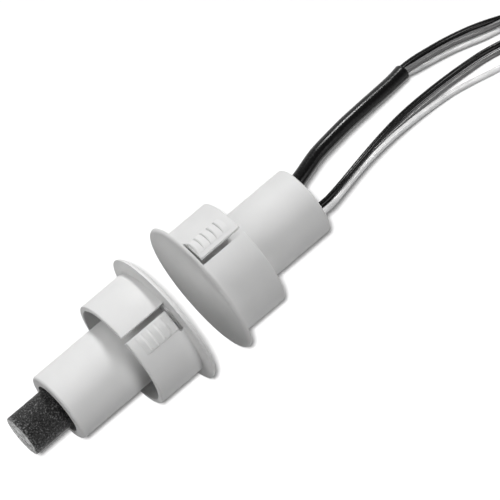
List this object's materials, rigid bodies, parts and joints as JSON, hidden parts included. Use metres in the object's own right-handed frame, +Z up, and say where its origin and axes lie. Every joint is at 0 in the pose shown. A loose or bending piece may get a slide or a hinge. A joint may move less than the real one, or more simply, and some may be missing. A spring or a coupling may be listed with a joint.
{
  "type": "recessed magnetic door contact",
  "caption": "Recessed door contact: a flanged snap-in switch plug with wire leads, and a matching flanged plug that holds a bar magnet.",
  "frame": {"origin": "centre of the hole in the door frame, on the plane that the switch flange seats against", "axes": "+X along the contact's axis from the magnet half to the switch tube's leads, +Z up, the leads lie on the plane that touches the flange rims from below"},
  "size_m": [0.1949, 0.0452, 0.031],
  "materials": {
    "white_moulding": "semi-gloss white moulding",
    "magnet": "rough dark cast magnet",
    "potting": "cured potting compound",
    "glass": "clear capsule glass",
    "reed_metal": "plated nickel-iron",
    "solder": "dull solder",
    "conductor": "tinned strands",
    "lead_black": "glossy black insulation",
    "lead_grey": "grey insulation",
    "lead_white": "white insulation",
    "sleeve": "glossy black shrink sleeve",
    "lead_bundle": "bundle of insulated leads",
    "tie": "white tie"
  },
  "bodies": {
    "switch": {"switch_housing": "white_moulding", "potting": "potting", "reed_1_glass": "glass", "reed_1_common_lead": "reed_metal", "reed_1_open_blade": "reed_metal", "reed_1_closed_blade": "reed_metal", "solder_1_common": "solder", "solder_1_open": "solder", "solder_1_closed": "solder", "conductor_1_black": "conductor", "conductor_1_grey": "conductor", "conductor_1_white": "conductor", "reed_2_glass": "glass", "reed_2_common_lead": "reed_metal", "reed_2_open_blade": "reed_metal", "reed_2_closed_blade": "reed_metal", "solder_2_common": "solder", "solder_2_open": "solder", "solder_2_closed": "solder", "conductor_2_black": "conductor", "conductor_2_grey": "conductor", "conductor_2_white": "conductor", "lead_1_black": "lead_black", "lead_1_grey": "lead_grey", "lead_1_white": "lead_white", "lead_2_black": "lead_black", "lead_2_grey": "lead_grey", "lead_2_white": "lead_white", "lead_sleeve": "sleeve", "lead_coil": "lead_bundle", "coil_tie_1": "tie", "coil_tie_2": "tie"},
    "magnet": {"magnet_housing": "white_moulding", "bar_magnet": "magnet"},
    "reed_1_blade": {"reed_1_common_blade": "reed_metal"},
    "reed_2_blade": {"reed_2_common_blade": "reed_metal"}
  },
  "joints": [
    {"name": "magnet_approach", "type": "slide", "parent": "switch", "child": "magnet", "axis": [-1, 0, 0], "range_m": [-0.007, 0.03]},
    {"name": "reed_1_flex", "type": "hinge", "parent": "switch", "child": "reed_1_blade", "pos_m": [0.0041, 0.0022, 0], "axis": [0, -1, 0], "range_deg": [0, 1.6]},
    {"name": "reed_2_flex", "type": "hinge", "parent": "switch", "child": "reed_2_blade", "pos_m": [0.0041, -0.0022, 0], "axis": [0, -1, 0], "range_deg": [0, 1.6]}
  ]
}
